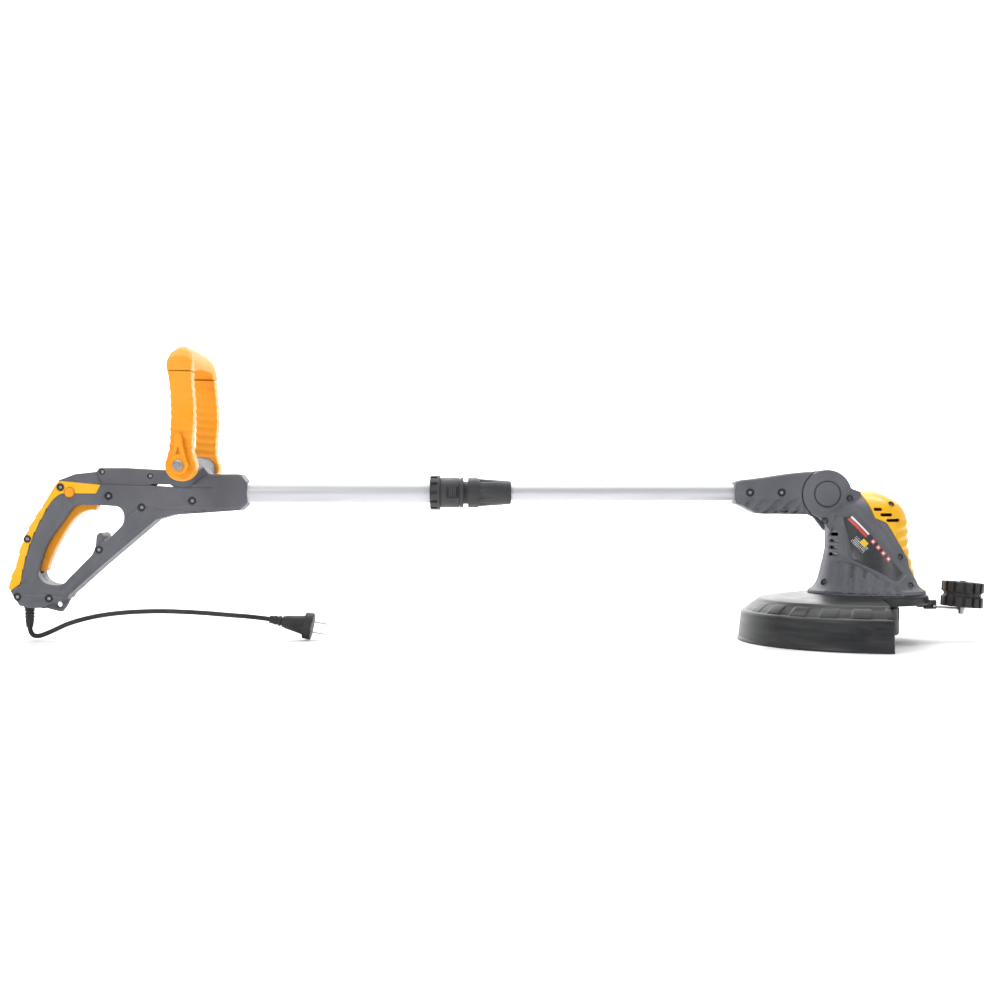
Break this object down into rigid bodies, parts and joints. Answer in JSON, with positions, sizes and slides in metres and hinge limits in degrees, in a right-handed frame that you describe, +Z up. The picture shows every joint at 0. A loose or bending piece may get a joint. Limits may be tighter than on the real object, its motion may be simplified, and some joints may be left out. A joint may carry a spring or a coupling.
{
  "type": "string trimmer",
  "caption": "Corded string trimmer with a D-handle and trigger, tilting loop handle, telescopic shaft, tilting motor head, half-round guard and edging wheel.",
  "frame": {"origin": "middle of the bounding box, on the floor plane that the guard's rim rests on", "axes": "+X along the shaft towards the cutting head, +Z up, -Y the side with the loop handle's lever"},
  "size_m": [1.184, 0.3096, 0.3539],
  "materials": {
    "yellow_plastic": "satin",
    "yellow_grip": "satin",
    "orange_plastic": "satin",
    "grey_plastic": "fine grain",
    "dark_plastic": "fine grain",
    "guard_plastic": "gloss",
    "black_rubber": "matte",
    "tube_alloy": "satin",
    "steel": "zinc plated",
    "cutter_steel": "ground",
    "core_steel": "dark",
    "brass": "plain",
    "nylon_line": "gloss",
    "label": "satin",
    "black_plastic": "satin"
  },
  "bodies": {
    "handle": {"handle_shell_left": "grey_plastic", "handle_shell_right": "grey_plastic", "grip_cover": "yellow_plastic", "handle_bracket": "grey_plastic", "handle_screws": "steel", "micro_switch": "black_plastic", "internal_lead": "black_rubber", "cord_boot": "black_rubber", "power_cord": "black_rubber", "plug_body": "black_rubber", "plug_blades": "brass", "trigger_pin": "steel", "trigger_spring": "steel", "upper_tube": "tube_alloy", "index_ring": "dark_plastic", "coiled_lead": "black_rubber", "aux_bolt": "steel", "aux_nut": "steel"},
    "trigger": {"trigger": "orange_plastic"},
    "lock_button": {"lock_button": "orange_plastic"},
    "aux_loop": {"aux_arm_left": "yellow_grip", "aux_arm_right": "yellow_grip", "aux_crossbar": "yellow_grip"},
    "aux_lever": {"aux_lever": "orange_plastic"},
    "collar": {"collar": "dark_plastic", "collet": "black_plastic"},
    "twist_catch": {"twist_catch": "dark_plastic"},
    "clamp_nut": {"clamp_nut": "dark_plastic"},
    "lower_shaft": {"lower_tube": "tube_alloy", "tube_bush": "black_plastic", "arm_shell_left": "grey_plastic", "arm_shell_right": "grey_plastic", "arm_screws": "steel"},
    "head": {"motor_housing_left": "grey_plastic", "motor_housing_right": "grey_plastic", "rear_cover": "yellow_plastic", "label_plate": "label", "motor_field": "core_steel", "brush_holders": "brass", "bearing_bridge": "steel", "bearing_bottom": "steel", "guard": "guard_plastic", "guard_screws": "steel", "line_cutter": "cutter_steel", "pivot_pin": "steel", "tilt_spring": "steel"},
    "tilt_button": {"tilt_button": "grey_plastic"},
    "rotor": {"rotor_shaft": "steel", "armature": "core_steel", "fan": "black_plastic", "spool_housing": "black_plastic", "spool_reel": "black_plastic", "wound_line": "nylon_line", "line_eyelets": "steel", "line_tips": "nylon_line", "bump_spring": "steel"},
    "bump_button": {"bump_button": "dark_plastic"},
    "guide": {"wire_guide": "steel", "wheel_axle": "steel"},
    "guide_wheel": {"guide_wheel": "black_plastic"}
  },
  "joints": [
    {"name": "trigger_pull", "type": "hinge", "parent": "handle", "child": "trigger", "pos_m": [-0.493, 0, 0.166], "axis": [0, 1, 0], "range_deg": [0, 5], "stiffness_Nm_per_rad": 2, "springref_deg": -8.59, "deforming": ["trigger_spring"]},
    {"name": "lock_press", "type": "slide", "parent": "handle", "child": "lock_button", "axis": [0, 1, 0], "range_m": [0, 0.0025], "stiffness_N_per_m": 300, "springref_m": -0.002},
    {"name": "loop_tilt", "type": "hinge", "parent": "handle", "child": "aux_loop", "pos_m": [-0.37, 0, 0.211], "axis": [0, 1, 0], "range_deg": [-55, 55]},
    {"name": "loop_lever_turn", "type": "hinge", "parent": "aux_loop", "child": "aux_lever", "pos_m": [-0.37, -0.083, 0.211], "axis": [0, 1, 0], "range_deg": [0, 180]},
    {"name": "shaft_twist", "type": "hinge", "parent": "handle", "child": "collar", "pos_m": [-0.06, 0, 0.18], "axis": [1, 0, 0], "range_deg": [0, 180]},
    {"name": "twist_catch_slide", "type": "slide", "parent": "collar", "child": "twist_catch", "axis": [1, 0, 0], "range_m": [0, 0.0025], "stiffness_N_per_m": 400, "springref_m": -0.002},
    {"name": "clamp_nut_turn", "type": "hinge", "parent": "collar", "child": "clamp_nut", "pos_m": [-0.02, 0, 0.18], "axis": [1, 0, 0], "range_deg": [0, 90]},
    {"name": "shaft_slide", "type": "slide", "parent": "collar", "child": "lower_shaft", "axis": [-1, 0, 0], "range_m": [0, 0.19], "deforming": ["coiled_lead"]},
    {"name": "head_tilt", "type": "hinge", "parent": "lower_shaft", "child": "head", "pos_m": [0.397, 0, 0.178], "axis": [0, -1, 0], "range_deg": [0, 75]},
    {"name": "tilt_button_press", "type": "slide", "parent": "head", "child": "tilt_button", "axis": [0, 1, 0], "range_m": [0, 0.003], "stiffness_N_per_m": 600, "springref_m": -0.002, "deforming": ["tilt_spring"]},
    {"name": "spool_spin", "type": "hinge", "parent": "head", "child": "rotor", "pos_m": [0.449, 0, 0.02], "axis": [0, 0, 1], "continuous": true},
    {"name": "bump_press", "type": "slide", "parent": "rotor", "child": "bump_button", "axis": [0, 0, 1], "range_m": [0, 0.003], "stiffness_N_per_m": 1000, "springref_m": -0.002, "deforming": ["bump_spring"]},
    {"name": "guide_fold", "type": "hinge", "parent": "head", "child": "guide", "pos_m": [0.527, 0, 0.043], "axis": [0, -1, 0], "range_deg": [0, 40]},
    {"name": "wheel_spin", "type": "hinge", "parent": "guide", "child": "guide_wheel", "pos_m": [0.56489, 0, 0.04015], "axis": [0.075, 0, 0.9972], "continuous": true}
  ]
}
